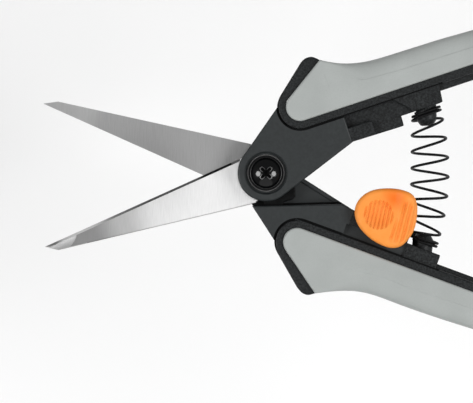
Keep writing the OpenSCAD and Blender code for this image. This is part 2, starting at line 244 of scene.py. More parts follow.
def slab(pts, lo, hi, r_top=0.35, r_low=None, steps=4):
    """An extruded outline with rounded top and bottom edges."""
    pts = anticlockwise(pts)
    r_low = r_top if r_low is None else r_low
    rings = []
    for k in range(steps + 1 if r_low > 0 else 1):
        a = math.pi / 2 * k / steps if r_low > 0 else math.pi / 2
        rings.append([(x, y, lo + r_low * (1 - math.cos(a)))
                      for x, y in inset(pts, r_low * (1 - math.sin(a)))])
    for k in range(steps + 1 if r_top > 0 else 1):
        a = math.pi / 2 * k / steps if r_top > 0 else 0
        rings.append([(x, y, hi - r_top * (1 - math.sin(a)))
                      for x, y in inset(pts, r_top * (1 - math.cos(a)))])
    return loft(rings, "slab")


def box_slab(u, v, lo, hi, r=0.3, corner=0.3):
    pts = [(u[0], v[0], corner), (u[1], v[0], corner), (u[1], v[1], corner), (u[0], v[1], corner)]
    return slab(rounded(pts, 3), lo, hi, r)


def disc(r, lo, hi, n=71, edge=0, centre=(0, 0), last=357):
    """A round slab; its outline starts at 0 degrees, stops at last and closes there."""
    return slab(arc(centre, r, 0, last, n), lo, hi, edge)


def lathe(profile, n=96):
    """Profile points (radius, z) turned about Z; the two ends lie on the axis or on each other."""
    bm = bmesh.new()
    rows = []
    for r, z in profile:
        if r < 1e-6:
            rows.append([bm.verts.new((0, 0, z * MM))])
        else:
            rows.append([bm.verts.new((r * math.cos(a) * MM, r * math.sin(a) * MM, z * MM))
                         for a in np.linspace(0, 2 * math.pi, n, endpoint=False)])
    for low, high in zip(rows, rows[1:]):
        for i in range(n):
            j = (i + 1) % n
            if len(low) == 1:
                bm.faces.new((low[0], high[j], high[i]))
            elif len(high) == 1:
                bm.faces.new((low[i], low[j], high[0]))
            else:
                bm.faces.new((low[i], low[j], high[j], high[i]))
    return new_object("lathe", bm)


def combine(base, others, operation):
    """Union, difference or intersection of closed meshes; the others are used up."""
    for other in others:
        m = base.modifiers.new("cut", "BOOLEAN")
        m.operation, m.solver, m.object = operation, "MANIFOLD", other
        m.material_mode = "TRANSFER"
    bpy.context.view_layer.update()
    done = bpy.data.meshes.new_from_object(base.evaluated_get(bpy.context.evaluated_depsgraph_get()))
    base.modifiers.clear()
    if not any(done.materials):
        done.materials.clear()
    base.data = done
    for other in others:
        bpy.data.objects.remove(other)
    return base


def union(parts):
    return combine(parts[0], parts[1:], "UNION") if len(parts) > 1 else parts[0]


def cut(base, tools):
    return combine(base, tools, "DIFFERENCE")


def turned(obj, angle):
    """Turns a mesh about the pivot axis; the angle is in degrees."""
    obj.data.transform(Matrix.Rotation(math.radians(angle), 4, "Z"))
    return obj


def to_rail(obj, s):
    """Moves a mesh from the rail frame of one half into the CAD frame."""
    turn = Matrix.Rotation(math.radians(RAIL_ANGLE[s]), 4, "Z")
    obj.data.transform(turn if s == FRONT else Matrix.Scale(-1, 4, (0, 1, 0)) @ turn)
    if s == REAR:
        obj.data.flip_normals()
    return obj


def paint(obj, *materials):
    for material in materials:
        obj.data.materials.append(material)
    return obj


def finish_piece(obj, name, body, material, nodes, angle=32):
    """Names a piece, gives it crisp shading, its material, its CAD body and the nodes it replaces."""
    obj.name = obj.data.name = name
    bm = bmesh.new()
    bm.from_mesh(obj.data)
    bmesh.ops.remove_doubles(bm, verts=bm.verts, dist=2e-7)
    bmesh.ops.dissolve_degenerate(bm, edges=bm.edges, dist=2e-7)
    bmesh.ops.triangulate(bm, faces=[f for f in bm.faces if len(f.verts) > 4])
    same = {}
    for face in bm.faces:
        same.setdefault(frozenset(vert.index for vert in face.verts), []).append(face)
    doubled = [face for faces in same.values() if len(faces) > 1 for face in faces]
    bmesh.ops.delete(bm, geom=doubled, context="FACES")
    bm.to_mesh(obj.data)
    bm.free()
    if material:
        obj.data.materials.clear()
        obj.data.materials.append(material)
    obj.data.shade_smooth()
    obj.data.set_sharp_from_angle(angle=math.radians(angle))
    if angle < 35:
        weighted = obj.modifiers.new("weighted_normals", "WEIGHTED_NORMAL")
        weighted.keep_sharp = True
    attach(obj, body)
    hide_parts(*nodes)
    return obj


# ---------------------------------------------------------------- materials
class Shader:
    """A node material with a Principled shader and a few shorthand calls."""

    def __init__(self, name):
        self.material = bpy.data.materials.new(name)
        self.material.use_nodes = True
        self.nodes = self.material.node_tree.nodes
        self.links = self.material.node_tree.links
        self.bsdf = self.nodes["Principled BSDF"]
        self.coord = self.nodes.new("ShaderNodeTexCoord").outputs["Object"]

    def set(self, **values):
        for key, value in values.items():
            self.bsdf.inputs[key.replace("_", " ")].default_value = value
        return self

    def link(self, output, socket):
        self.links.new(output, self.bsdf.inputs[socket])
        return self

    def node(self, kind, **settings):
        node = self.nodes.new("ShaderNode" + kind)
        for key, value in settings.items():
            setattr(node, key, value)
        return node

    def mapping(self, scale=(1, 1, 1), turn=0.0, source=None):
        node = self.node("Mapping")
        node.inputs["Scale"].default_value = scale
        node.inputs["Rotation"].default_value = (0, 0, math.radians(turn))
        self.links.new(source or self.coord, node.inputs["Vector"])
        return node.outputs["Vector"]

    def noise(self, size, detail=3.0, rough=0.5, vector=None):
        """Noise whose features are about size millimetres across."""
        node = self.node("TexNoise")
        node.inputs["Scale"].default_value = 1000.0 / size
        node.inputs["Detail"].default_value = detail
        node.inputs["Roughness"].default_value = rough
        self.links.new(vector or self.coord, node.inputs["Vector"])
        return node.outputs["Fac"]

    def spread(self, value, low, high, start=0.3, end=0.7):
        node = self.node("MapRange")
        node.inputs["From Min"].default_value = start
        node.inputs["From Max"].default_value = end
        node.inputs["To Min"].default_value = low
        node.inputs["To Max"].default_value = high
        self.links.new(value, node.inputs["Value"])
        return node.outputs["Result"]

    def mix(self, fac, a, b):
        node = self.node("Mix", data_type="RGBA")
        for value, socket in ((a, node.inputs[6]), (b, node.inputs[7])):
            if isinstance(value, tuple):
                socket.default_value = value
            else:
                self.links.new(value, socket)
        self.links.new(fac, node.inputs[0])
        return node.outputs[2]

    def math(self, operation, a, b=0.0):
        node = self.node("Math", operation=operation)
        for value, socket in zip((a, b), node.inputs):
            if isinstance(value, (int, float)):
                socket.default_value = value
            else:
                self.links.new(value, socket)
        return node.outputs["Value"]

    def along(self, direction):
        """Distance in millimetres along a direction from the pivot."""
        node = self.node("VectorMath", operation="DOT_PRODUCT")
        node.inputs[1].default_value = tuple(1000.0 * d for d in direction)
        self.links.new(self.coord, node.inputs[0])
        return node.outputs["Value"]

    def bump(self, height, depth_mm, strength=1.0):
        node = self.node("Bump")
        node.inputs["Distance"].default_value = depth_mm * MM
        node.inputs["Strength"].default_value = strength
        self.links.new(height, node.inputs["Height"])
        self.links.new(node.outputs["Normal"], self.bsdf.inputs["Normal"])
        return self


def srgb(r, g, b):
    def lin(c):
        c /= 255.0
        return c / 12.92 if c <= 0.04045 else ((c + 0.055) / 1.055) ** 2.4
    return (lin(r), lin(g), lin(b), 1.0)


def nylon(name, dark, light, grain, depth, shine=0.45):
    """Moulded nylon: a fine spark-eroded grain over broad, faint mottling; where the dark and light greys
    lie far apart, the light flecks of the grain are painted glints.
    """
    m = Shader(name).set(Specular_IOR_Level=shine)
    fine = m.noise(grain, 3.0, 0.65)
    blend = m.math("MULTIPLY", m.spread(fine, 0.0, 1.0, 0.38, 0.68),
                   m.spread(m.noise(5.0, 3.0), 0.7, 1.0))
    m.link(m.mix(blend, dark, light), "Base Color")
    m.link(m.spread(m.noise(0.9, 3.0), 0.42, 0.6), "Roughness")
    return m.bump(fine, depth).material


def soft_grip(name):
    m = Shader(name).set(Roughness=0.75, Specular_IOR_Level=0.3, Sheen_Weight=0.12, Sheen_Roughness=0.5)
    base = m.mix(m.spread(m.noise(9.0, 4.0), 0.0, 1.0), srgb(160, 164, 162), srgb(168, 172, 170))
    speck = m.spread(m.noise(0.3, 2.0), 0.0, 0.35, 0.45, 0.75)
    m.link(m.mix(speck, base, srgb(152, 156, 154)), "Base Color")
    m.link(m.spread(m.noise(0.8, 3.0), 0.66, 0.82), "Roughness")
    return m.bump(m.noise(0.16, 2.0, 0.6), 0.012).material


def blade_steel(name, angle_deg, greys_and_painted_shading, rough):
    """Ground steel with fine lines across the blade; the grey stops are (distance from the pivot, grey).
    Where the greys change along the blade they are painted reflection shading, standing in for how the
    faces catch the light.
    """
    a, ramp_length = math.radians(angle_deg), 60.0
    m = Shader(name).set(Metallic=1.0, Roughness=rough, Anisotropic=0.4)
    lines = m.noise(1.0, 3.0, 0.65, m.mapping((9.0, 0.25, 0.25), -angle_deg))
    # Painted shading: the base grey follows distance from the pivot along the blade.
    reach = m.spread(m.along((math.cos(a), math.sin(a), 0.0)), 0.0, 1.0, 0.0, ramp_length)
    ramp = m.node("ValToRGB")
    ramp.color_ramp.interpolation = "EASE"
    stops = ramp.color_ramp.elements
    for i, (distance, grey) in enumerate(greys_and_painted_shading):
        position = distance / ramp_length
        stop = stops[i] if i < 2 else stops.new(position)
        stop.position = position
        stop.color = srgb(grey, grey, grey)
    m.links.new(reach, ramp.inputs["Fac"])
    streak = m.mix(m.spread(lines, 0.0, 0.16), ramp.outputs["Color"], srgb(90, 90, 90))
    m.link(streak, "Base Color")
    m.link(m.spread(lines, rough - 0.05, rough + 0.08), "Roughness")
    return m.bump(lines, 0.004).material


def black_metal(name, rough, coat):
    """Blackened metal with fine mottling under a thin clear coat."""
    m = Shader(name).set(Roughness=rough, Specular_IOR_Level=0.2 - 0.16 * coat)
    m.set(Coat_Weight=coat, Coat_Roughness=0.11, Coat_IOR=1.45)
    m.link(m.mix(m.spread(m.noise(0.7, 4.0), 0.0, 1.0), srgb(2, 2, 3), srgb(7, 8, 9)), "Base Color")
    m.link(m.spread(m.noise(0.5, 3.0), rough - 0.05, rough + 0.1), "Roughness")
    return m.bump(m.noise(0.4, 2.0), 0.006).material


def orange_plastic(name, shade_at):
    """Satin orange with painted shade: a darker, deeper orange in the smooth valley around the given
    point (CAD frame, mm).
    """
    m = Shader(name).set(Specular_IOR_Level=0.28)
    light = m.mix(m.spread(m.noise(3.0, 3.0), 0.0, 1.0), srgb(244, 146, 58), srgb(248, 154, 70))
    gap = m.node("VectorMath", operation="DISTANCE")
    gap.inputs[1].default_value = tuple(c * MM for c in shade_at)
    m.links.new(m.coord, gap.inputs[0])
    # Painted shade: the orange darkens toward the valley centre at the given point.
    depth = m.spread(gap.outputs["Value"], 0.9, 0.0, 0.6 * MM, 3.8 * MM)
    m.link(m.mix(depth, light, srgb(240, 108, 6)), "Base Color")
    m.link(m.spread(m.noise(0.6, 3.0), 0.5, 0.66), "Roughness")
    return m.bump(m.noise(0.3, 2.0), 0.01).material


SMOOTH_PLASTIC = nylon("nylon_smooth", srgb(29, 33, 34), srgb(39, 43, 44), 0.9, 0.008, 0.42)
# The wide spread from near-black to dark grey is partly real grain and partly painted glints in the light
# flecks.
GRAINED_PLASTIC = nylon("nylon_grained", srgb(5, 7, 8), srgb(43, 46, 47), 0.5, 0.045, 0.26)
GRIP_RUBBER = soft_grip("soft_touch_grip")
# The blade greys are painted light and shade: the front face lighter near the hub and darker toward the
# tip, the bevel near-black by the hub and light at the tip, the tip facet a set mid grey, and the back
# face lighter toward the tip.
FRONT_STEEL = blade_steel("front_blade_face", BLADE_ANGLE[FRONT],
                          [(0, 226), (60, 136), (29, 222), (38, 184), (46, 143)], 0.34)
EDGE_STEEL = blade_steel("front_blade_edge", BLADE_ANGLE[FRONT],
                         [(0, 8), (60, 210), (30, 12), (38, 90), (46, 190)], 0.3)
FACET_STEEL = blade_steel("front_blade_facet", BLADE_ANGLE[FRONT], [(0, 186), (60, 186)], 0.36)
BACK_STEEL = blade_steel("back_blade_face", 360 - BLADE_ANGLE[REAR],
                         [(0, 148), (60, 170), (28, 150), (42, 161), (48, 176)], 0.42)
GLOSS_BLACK = black_metal("pivot_black", 0.3, 1.0)
WIRE_BLACK = black_metal("spring_wire_black", 0.55, 0.0)
RECESS_BLACK = black_metal("screw_recess_black", 0.7, 0.0)
# Light grey steel painted as highlights on the rim of the screw head, the ledges around its cross recess
# and the raised edge of the flange ring.
EDGE_HIGHLIGHT_GREY = blade_steel("screw_painted_edge_highlight", 45.0, [(0, 120), (60, 120)], 0.35)
# Near-black nylon used as painted shade: on the collar and shelf under the edge of the front hub plate,
# and on the faces of the channels at the foot of the rim and of the step.
SHADE_BLACK_PLASTIC = nylon("nylon_painted_shade", srgb(1, 2, 2), srgb(14, 15, 16), 0.7, 0.01, 0.12)
WASHER_STEEL = blade_steel("washer_steel", 0.0, [(0, 170), (60, 190)], 0.35)
LOCK_ORANGE = orange_plastic("lock_orange_plastic", (31.9, -6.4, 14.2))


# ---------------------------------------------------------------- blades
REACH_TIP = 58.6
EDGE_Y0 = [-6.0, -6.95]
HEEL = [(4.5, 6.4), (5.5, 5.9)]
SPINE_CORNER = [(-3.1, 1.87), (-3.4, 1.6)]
BEVEL_W = 0.6
EDGE_T = 0.12
TANG = [(-0.2, 5.2), (3.6, 7.9), (6, 10.2), (10.5, 11.9), (20, 15.4), (28, 16), (31, 15),
        (31, 12.2), (20, 10.7), (12, 9.6), (6.8, 7.2), (4.6, 1.8)]
TANG_HOLES = [(15.5, 12), (25, 13.4)]
DISC_R = 5.7


def blade_section(s, x):
    """Across the blade at x: cutting edge and spine, in the blade frame."""
    edge = EDGE_Y0[s] * (1 - x / REACH_TIP)
    corner_x = REACH_TIP + SPINE_CORNER[s][0]
    corner_y = SPINE_CORNER[s][1]
    if x > corner_x:
        spine = corner_y * (REACH_TIP - x) / (REACH_TIP - corner_x)
    else:
        slope = (HEEL[s][1] - corner_y) / (HEEL[s][0] - corner_x)
        spine = corner_y + slope * (x - corner_x)
    return edge, spine


def blade_top(x, y, edge, spine):
    """Thickness of the blade at (x, y): flat face, ground bevel, tip facet and spine chamfer."""
    across = EDGE_T + (y - edge) * (BLADE_T - EDGE_T) / BEVEL_W
    hollow = 0.1 * max(0.0, 1 - ((y - 0.7) / 1.6) ** 2)
    facet = EDGE_T + (REACH_TIP + 0.4 - x) * 0.155 + (y + 0.6) * 0.16 - hollow
    chamfer = BLADE_T - 0.16 + (spine - y)
    return max(0.08, min(BLADE_T, across, facet, chamfer))


def blade_body(s):
    """The tapering blade with its ground faces, flat on the shear side at z = 0."""
    stations = np.concatenate([np.linspace(HEEL[s][0] + 0.2, 46, 46),
                               np.linspace(46.4, REACH_TIP - 0.12, 90)])
    rings = []
    for x in stations:
        edge, spine = blade_section(s, x)
        width = spine - edge
        marks = [0, BEVEL_W, BEVEL_W + 0.06]
        marks = [m if m < 0.6 * width else 0.6 * width * m / (BEVEL_W + 0.06) for m in marks]
        inner = np.linspace(marks[2], width - min(0.22, 0.2 * width), 17)[1:]
        across = marks + list(inner) + [width - 0.1 * min(1, width), width]
        top = [(x, edge + d, blade_top(x, edge + d, edge, spine)) for d in across]
        low = [(x, edge + d, 0.0) for d in across[::-1]]
        rings.append(top + low)
    return loft(rings, "blade_body")


def mark_ground_faces(steel, s):
    """Gives the bevel and the tip facet of the front blade their own steel materials, whose greys are
    painted reflection shading for these faces.
    """
    turn = Matrix.Rotation(math.radians(-BLADE_ANGLE[s]), 3, "Z")
    bevel_start, facet_start = 7, 48.2
    for face in steel.data.polygons:
        at = (turn @ face.center) / MM
        edge, _ = blade_section(s, at.x)
        ground = 0.3 < face.normal.z < 0.9995
        if ground and at.x > bevel_start and at.y - edge < BEVEL_W + 0.05:
            face.material_index = 1
        elif ground and at.x > facet_start:
            face.material_index = 2


def tang(lo, hi, edge=0):
    """The tang of a blade, or the pocket for it, in the rail frame."""
    return slab(rounded([(u, v, 0.6) for u, v in TANG]), lo, hi, edge)


def blade(s):
    """The blade with its hub disc and tang, joined flat on z = 0 and then put in its layer."""
    neck_x = HEEL[s][0] + 0.6
    neck = rounded([(neck_x, HEEL[s][1] - 0.1, 0.1), (-1.5, 3.0, 0), (-3, 0, 0),
                    (-0.3, EDGE_Y0[s] * 1.005, 0.3), (neck_x, blade_section(s, neck_x)[0] + 0.02, 0)])
    steel = union([turned(blade_body(s), BLADE_ANGLE[s]),
                   turned(slab(neck, 0, BLADE_T, 0.05), BLADE_ANGLE[s]),
                   disc(DISC_R, 0.01, BLADE_T - 0.01, 119, edge=0.08),
                   turned(tang(0.02, BLADE_T - 0.02, 0.08), RAIL_ANGLE[s])])
    holes = [turned(disc(TANG_HOLE_R, -1, 3, 43, centre=hole, last=352), RAIL_ANGLE[s])
             for hole in TANG_HOLES]
    steel = cut(steel, [disc(BARREL_R + 0.06, -1, 3)] + holes)
    side = 1 if s == FRONT else -1
    layer = Matrix.Translation((0, 0, (SHEAR_Z + side * GAP / 2) * MM))
    steel.data.transform(layer @ Matrix.Diagonal((1, side, side * (BLADE_T - GAP / 2) / BLADE_T, 1)))
    name, node = [("blade_front_ground", "front_blade"), ("blade_back_ground", "back_blade")][s]
    steel_look = [FRONT_STEEL, BACK_STEEL][s]
    steel = finish_piece(steel, name, BODY[s], steel_look, [node], 12)
    if s == FRONT:
        mark_ground_faces(paint(steel, EDGE_STEEL, FACET_STEEL), s)


# ---------------------------------------------------------------- handle frames
BOSS_BASE = [(40.2, 17.2), (39.2, -19.6)]
BOSS_TIP = [(40.45, 11.9), (39.65, -15.0)]
SLOT_V = (2.0, 4.9)
STEM_U = (33.0, 36.6)
LOCK_TRAVEL = 6
GROOVE_Z = Z_HI - 1.5
CATCH_Z = Z_HI - 2.3
SHELF = [(-3.2, -8.7), (1.7, -8.7), (1.7, -6.4), (-2.6, -6.4)]
COLLAR = [(-0.5, -8.9), (-0.5, -5.5), (4, -4.2), (7.4, -3), (7.4, -5.9), (6.7, -6.6),
          (4.5, -7.2), (4.4, -8.9)]


def spring_boss(s):
    """A round peg with a domed, tapered nose."""
    base, tip = np.array(BOSS_BASE[s]), np.array(BOSS_TIP[s])
    length = float(np.linalg.norm(tip - base))
    nose = [(2.6, 1.75), (2.5, 1.45), (1.75, 0.3), (1.45, 0.08), (1.1, 0), (0, 0)]
    peg = lathe([(0, 0), (nose[0][0], 0)] + [(r, length - back) for r, back in nose], 48)
    aim = Matrix.Rotation(math.atan2(tip[1] - base[1], tip[0] - base[0]), 4, "Z")
    foot = Matrix.Translation((base[0] * MM, base[1] * MM, SHEAR_Z * MM))
    peg.data.transform(foot @ aim @ Matrix.Rotation(math.pi / 2, 4, "Y"))
    return peg


def rim_band(s):
    """Rim, rail and rounded end around the soft panel."""
    band = slab(handle_outline(s), RIM_LO, RIM_HI, 0.6, steps=6)
    return cut(band, [slab(panel_outline(s), RIM_LO - 1, RIM_HI + 1, 0)])


def core(s):
    """The part of the frame inside the grip; the grip is 2.8 mm thick outside it."""
    outer_skin = 2.8
    upper = slab(panel_outline(s), CORE_LO, CORE_HI, 0)
    lower = slab([(u, v - outer_skin) for u, v in panel_outline(s)], CORE_LO - 0.2, CORE_HI + 0.2, 0)
    return combine(upper, [lower], "INTERSECT")


def groove(s, z, side):
    """A channel along the outer foot of the rim, where the plate and the blocks meet it."""
    depth, outside, inside = 0.8, 0.32, 0.33
    lo, hi = (z - depth, z + 2) if side > 0 else (z - 2, z + depth)
    ring = cut(slab(inset(handle_outline(s), -outside), lo, hi, 0),
               [slab(inset(handle_outline(s), inside), lo - 1, hi + 1, 0)])
    near = rounded([(5, corner_c(s)[1] + 3.4, 0), (5, -2, 0), (49, -2, 0), (49, RAIL_V[s] + 0.6, 0),
                    (11, RAIL_V[s] + 0.6, 0), (9.6, corner_c(s)[1] + 3.4, 0)])
    return combine(ring, [slab(near, lo - 1, hi + 1, 0)], "INTERSECT")


def edge_lip():
    """A raised lip along the free edge of the rear hub plate."""
    width = 1.1
    start = np.array(arc((0, 0), HUB_R, REAR_HEEL_A, 0, 1)[0])
    end = np.array((PLATE_U[REAR], PLATE_V[REAR]))
    along = (end - start) / np.linalg.norm(end - start)
    side = width * np.array((-along[1], along[0]))
    pts = [start + along * 0.5, end - along * 1.2, end - along * 2.4 + side, start + along * 0.5 + side]
    return slab(rounded([(p[0], p[1], 0.2) for p in pts]), PLATE_TOP - 0.5, PLATE_TOP + 0.55, 0.3)


def step_channel():
    """A channel at the foot of the step across the rear hub plate, painted near-black as shade."""
    near, far = cheek_outline(REAR)[0], STEP_FAR
    foot = [near, far, (far[0] - 0.2, far[1] - 0.5), (near[0] - 0.2, near[1] - 0.5)]
    return slab(foot, PLATE_TOP - 0.5, PLATE_TOP + 1, 0)


def front_blocks():
    """Catch block with its raised catch, spring block and inner ledge."""
    catch = [(22.6, 8, 0), (22.6, 0.6, 0), (36.6, 0.34, 0.35), (36.7, 2.9, 0.2), (39.9, 2.9, 0),
             (39.9, 8, 0)]
    spring_block = [(35.3, 8, 0), (39.4, 3.75, 0.3), (39.6, 2.9, 0.25), (47.6, 2.9, 0.4), (48.1, 7, 0),
                    (48.1, 8, 0)]
    return [slab(rounded(catch), Z_LO, CATCH_Z, 0.25),
            box_slab((22.6, 29.2), (0.62, 4.2), CATCH_Z - 1, Z_HI - 0.1, 0.3, 0.35),
            slab(rounded(spring_block), Z_LO + 0.8, Z_HI - 0.8, 0.3),
            box_slab((47.6, 84), (5.75, 8.2), CORE_LO, CORE_HI, 0.5, 0.6)]


def rear_blocks():
    """Lock block, spring block and inner ledge."""
    return [box_slab((23.6, 39.2), (1.4, 8.2), Z_LO + 0.8, Z_HI, 0.3, 0.35),
            box_slab((38.6, 48.1), (4.15, 8.2), Z_LO + 0.8, Z_HI - 0.8, 0.3, 0.35),
            box_slab((47.6, 84), (6.45, 8.3), CORE_LO, CORE_HI, 0.4, 0.5)]


def lock_slot():
    """Slot for the stem of the lock and the groove that guides it."""
    slot_u = (STEM_U[0] - LOCK_TRAVEL - 0.2, STEM_U[1] + 0.2)
    return [box_slab(slot_u, SLOT_V, Z_LO - 1, Z_HI + 1, 0, 0.9),
            box_slab((23.3, 39.4), (SLOT_V[1] - 0.01, RAIL_V[REAR] + 0.05), GROOVE_Z, Z_HI + 1, 0, 0.1)]


def hub_pads():
    """The collar around the blade hub and the shelf under the edge of the front hub, both painted
    near-black as the shade under that edge.
    """
    collar = slab(rounded([(x, y, 0.5) for x, y in COLLAR]), PLATE_TOP - 1, SHEAR_Z + BLADE_T - 0.1, 0.25)
    shelf = slab(rounded([(x, y, 0.1) for x, y in SHELF]), PLATE_TOP - 1, SHEAR_Z - 0.1, 0.1)
    pads = [cut(collar, [disc(DISC_R + 0.6, 3, 12, 119)]), cut(shelf, [disc(HUB_R - 0.1, 3, 12, 119)])]
    return [paint(pad, SHADE_BLACK_PLASTIC) for pad in pads]


def pivot_hole(s):
    """The recess around the screw head or the nut flange, and the bore."""
    if s == FRONT:
        floor_r, chamfer_r, floor_z = RECESS_R - 0.2, RECESS_R + 0.3, Z_HI - RECESS_D
        profile = [(0, floor_z), (floor_r, floor_z), (RECESS_R, floor_z + 0.2), (RECESS_R, Z_HI - 0.25),
                   (chamfer_r, Z_HI + 0.05), (chamfer_r, Z_HI + 1), (0, Z_HI + 1)]
        return [lathe(profile, 120), disc(BARREL_R + 0.06, 6, 11)]
    chamfer_r = RECESS_R + 0.25
    profile = [(0, Z_LO - 1), (chamfer_r, Z_LO - 1), (chamfer_r, Z_LO - 0.02), (RECESS_R, Z_LO + 0.2),
               (RECESS_R, Z_LO + 0.6), (0, Z_LO + 0.6)]
    return [lathe(profile, 120), disc(BARREL_R + 0.02, 0, 8)]


def handle_frame(s):
    """The nylon moulding of one half, built in its rail frame and then turned into place."""
    if s == FRONT:
        plate, cheek_top, cheek_edge = (Z_HI - PLATE_T, Z_HI), Z_HI - 0.01, 0.54
    else:
        plate, cheek_top, cheek_edge = (Z_LO, PLATE_TOP), Z_HI, 0.4
    hub = union([slab(plate_outline(s), *plate, 0.55, steps=6),
                 slab(cheek_outline(s), Z_LO + 0.01, cheek_top, cheek_edge, 0.54, steps=6)])
    if s == REAR:
        hub = union([hub, edge_lip()])
    paint(hub, SMOOTH_PLASTIC)
    parts = [core(s)] + (front_blocks() if s == FRONT else rear_blocks()) + [rim_band(s)]
    body = union([hub] + [paint(part, GRAINED_PLASTIC) for part in parts])
    if s == REAR:
        body = cut(body, lock_slot())
    channels = [groove(s, Z_HI, 1), groove(s, Z_LO, -1)]
    if s == REAR:
        channels.append(step_channel())
    # The channel faces take the near-black of the tools: painted shade in the grooves.
    body = cut(body, [paint(channel, SHADE_BLACK_PLASTIC) for channel in channels])
    tang_lo, tang_hi = (SHEAR_Z, SHEAR_Z + BLADE_T) if s == FRONT else (SHEAR_Z - BLADE_T, SHEAR_Z)
    body = cut(body, [tang(tang_lo, tang_hi + 0.01)])
    to_rail(body, s)
    extras = [paint(spring_boss(s), GRAINED_PLASTIC)]
    if s == REAR:
        extras += hub_pads()
    body = cut(union([body] + extras), pivot_hole(s))
    name, node = [("front_frame_moulding", "front_handle_frame"),
                  ("rear_frame_moulding", "rear_handle_frame")][s]
    finish_piece(body, name, BODY[s], None, [node])


# ---------------------------------------------------------------- soft grips
def grip_rings(s):
    """The sides of the over-moulded skin: a full round outer edge and a tight line at the rim."""
    pts = anticlockwise(panel_outline(s, 0.06))
    p = np.array(pts)
    outer = np.interp(p[:, 0], [u for u, _ in outer_line(s)], [v for _, v in outer_line(s)])
    depth = outer - p[:, 1]
    weight = np.clip(1 - depth / 1.2, 0, 1) * np.clip((p[:, 0] - 23.5) / 9, 0, 1)
    radius = 0.7 + 2.9 * weight * weight * (3 - 2 * weight)
    reach = radius * (1 + 0.35 * weight)
    base = np.array(inset(pts, 1.0)) - p
    rings = []
    steps, power = 13, 2 / 2.5
    sines = [math.sin(math.pi / 2 * k / steps) ** power for k in range(steps + 1)]
    for near, far in zip(sines, sines[::-1]):
        flat = p + base * (reach * (1 - near))[:, None]
        rings.append([(x, y, GRIP_LO + CROWN + r * (1 - far)) for (x, y), r in zip(flat, radius)])
    for near, far in zip(sines, sines[::-1]):
        flat = p + base * (reach * (1 - far))[:, None]
        rings.append([(x, y, GRIP_HI - CROWN - r * (1 - near)) for (x, y), r in zip(flat, radius)])
    return rings


def crowned_grip(s):
    """The grip skin with its gently crowned faces, hollow where the core of the frame is."""
    rings = grip_rings(s)
    skin = []
    for ring, sign in ((np.array(rings[0]), -1), (np.array(rings[-1]), 1)):
        u = ring[:, 0]
        mid = GREY_V[s] + np.interp(u, [12, 24, 40, 60, 95], [4.2, 5.2, 4.4, 4.1, 4.2])
        centre = np.stack([np.clip(u, 14.0, 93.0), mid], axis=1)
        fills = []
        for f in (0.1, 0.2, 0.3, 0.45, 0.6, 0.8, 0.96):
            flat = ring[:, :2] * (1 - f) + centre * f
            crown = CROWN * math.sin(math.pi / 2 * f)
            fills.append([(x, y, z + sign * crown) for (x, y), z in zip(flat, ring[:, 2])])
        skin.append(fills)
    rings = skin[0][::-1] + rings + skin[1]
    obj = to_rail(cut(loft(rings, "grip"), [core(s)]), s)
    name, node = [("front_soft_grip", "front_grip"), ("rear_soft_grip", "rear_grip")][s]
    finish_piece(obj, name, BODY[s], GRIP_RUBBER, [node], 40)


# ---------------------------------------------------------------- pivot hardware
def cross(reach, half_width, corner, lo):
    """Two crossing bars, for the recess of the screw and the ledge around it."""
    bar = [(-reach, -half_width, corner), (reach, -half_width, corner),
           (reach, half_width, corner), (-reach, half_width, corner)]
    return [turned(slab(rounded(bar), lo, SEAT_Z + 3, 0), angle) for angle in (45, 135)]


def screw():
    """The screw: shank, pan head whose rim is painted light grey as a highlight, and a cross recess
    outlined by ledges painted light grey as highlights.
    """
    head_h, head_r, highlight_r, shank_r, shank_lo = 1.9, 3.95, 3.8, 1.68, Z_LO + 1.6
    dome = (head_r ** 2 + head_h ** 2) / (2 * head_h)
    cap = [(dome * math.sin(a), SEAT_Z + head_h - dome * (1 - math.cos(a)))
           for a in np.linspace(math.asin(highlight_r / dome), 0, 22)]
    profile = [(0, shank_lo), (shank_r, shank_lo), (shank_r, SEAT_Z), (head_r - 0.05, SEAT_Z),
               (head_r, SEAT_Z + 0.08)] + cap
    head = paint(lathe(profile, 120), GLOSS_BLACK, EDGE_HIGHLIGHT_GREY)
    # Faces on the rim of the head take the painted highlight grey.
    for face in head.data.polygons:
        if math.hypot(*face.center[:2]) > highlight_r * MM and face.normal.z > 0.2:
            face.material_index = 1
    under_cap = [(0, SEAT_Z)] + [(r, z - 0.09) for r, z in cap]
    ledges = [cut(bar, [lathe(under_cap)]) for bar in cross(2.0, 0.52, 0.4, SEAT_Z + 0.5)]
    middle = lathe([(0, SEAT_Z + 0.15), (0.55, SEAT_Z + 0.35), (1.15, SEAT_Z + 2.6),
                    (0, SEAT_Z + 2.6)], 48)
    recess = cross(1.75, 0.38, 0.3, SEAT_Z + 0.3) + [middle]
    # The ledges leave a light grey outline around the recess: a painted highlight.
    head = cut(head, [paint(ledge, EDGE_HIGHLIGHT_GREY) for ledge in ledges])
    head = cut(head, [paint(tool, RECESS_BLACK) for tool in recess])
    finish_piece(head, "pivot_screw_head", "rear_half", None, ["pivot_screw"], 28)


def flange_ring():
    """The ring under the screw head; its raised edge is painted light grey as a highlight."""
    bore_r, flat_z, edge_z = 1.76, RING_LO + 0.36, RING_LO + 0.5
    ring = lathe([(bore_r, RING_LO), (FLANGE_R - 0.1, RING_LO), (FLANGE_R, RING_LO + 0.1),
                  (FLANGE_R, edge_z - 0.06), (FLANGE_R - 0.03, edge_z), (FLANGE_R - 0.12, edge_z),
                  (FLANGE_R - 0.2, flat_z), (bore_r, flat_z), (bore_r, RING_LO)], 120)
    paint(ring, RECESS_BLACK, EDGE_HIGHLIGHT_GREY)
    # Faces on the raised edge take the painted highlight grey.
    for face in ring.data.polygons:
        if face.center.z > (flat_z + 0.02) * MM:
            face.material_index = 1
    finish_piece(ring, "screw_flange_ring", "rear_half", None, ["screw_washer"], 28)


